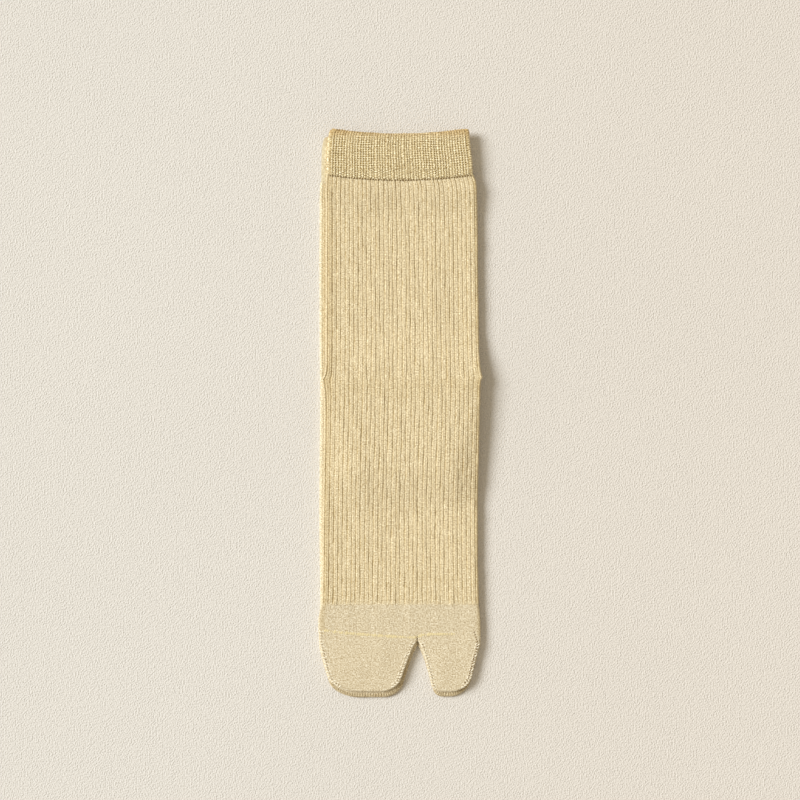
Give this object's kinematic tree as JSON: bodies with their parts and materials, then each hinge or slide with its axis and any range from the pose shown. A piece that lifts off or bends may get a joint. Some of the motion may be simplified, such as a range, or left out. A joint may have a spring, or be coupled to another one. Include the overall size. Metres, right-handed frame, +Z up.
{
  "type": "pair of split-toe socks",
  "caption": "Pair of crew socks with the big toe apart, laid flat one on the other: ribbed leg and instep, welt cuff, plain toes.",
  "frame": {"origin": "on the surface that the pair lies on, under the middle of its bounding box", "axes": "+Z up, +Y along the socks towards the cuffs, +X across them towards the big toes"},
  "size_m": [0.0928, 0.3186, 0.0101],
  "materials": {
    "rib_knit": "matt, fine ribbed cotton knit",
    "welt_knit": "matt, fine 1x1 rib, two layers",
    "plain_knit": "matt, fine plain knit"
  },
  "bodies": {
    "root": {"right_sock_cuff": "welt_knit", "right_sock_leg_and_foot": "rib_knit", "right_sock_heel": "plain_knit", "right_sock_forefoot": "plain_knit", "right_sock_four_toe_pocket": "plain_knit", "right_sock_big_toe_pocket": "plain_knit", "left_sock_cuff": "welt_knit", "left_sock_leg_and_foot": "rib_knit", "left_sock_heel": "plain_knit", "left_sock_forefoot": "plain_knit", "left_sock_four_toe_pocket": "plain_knit", "left_sock_big_toe_pocket": "plain_knit"}
  },
  "joints": []
}
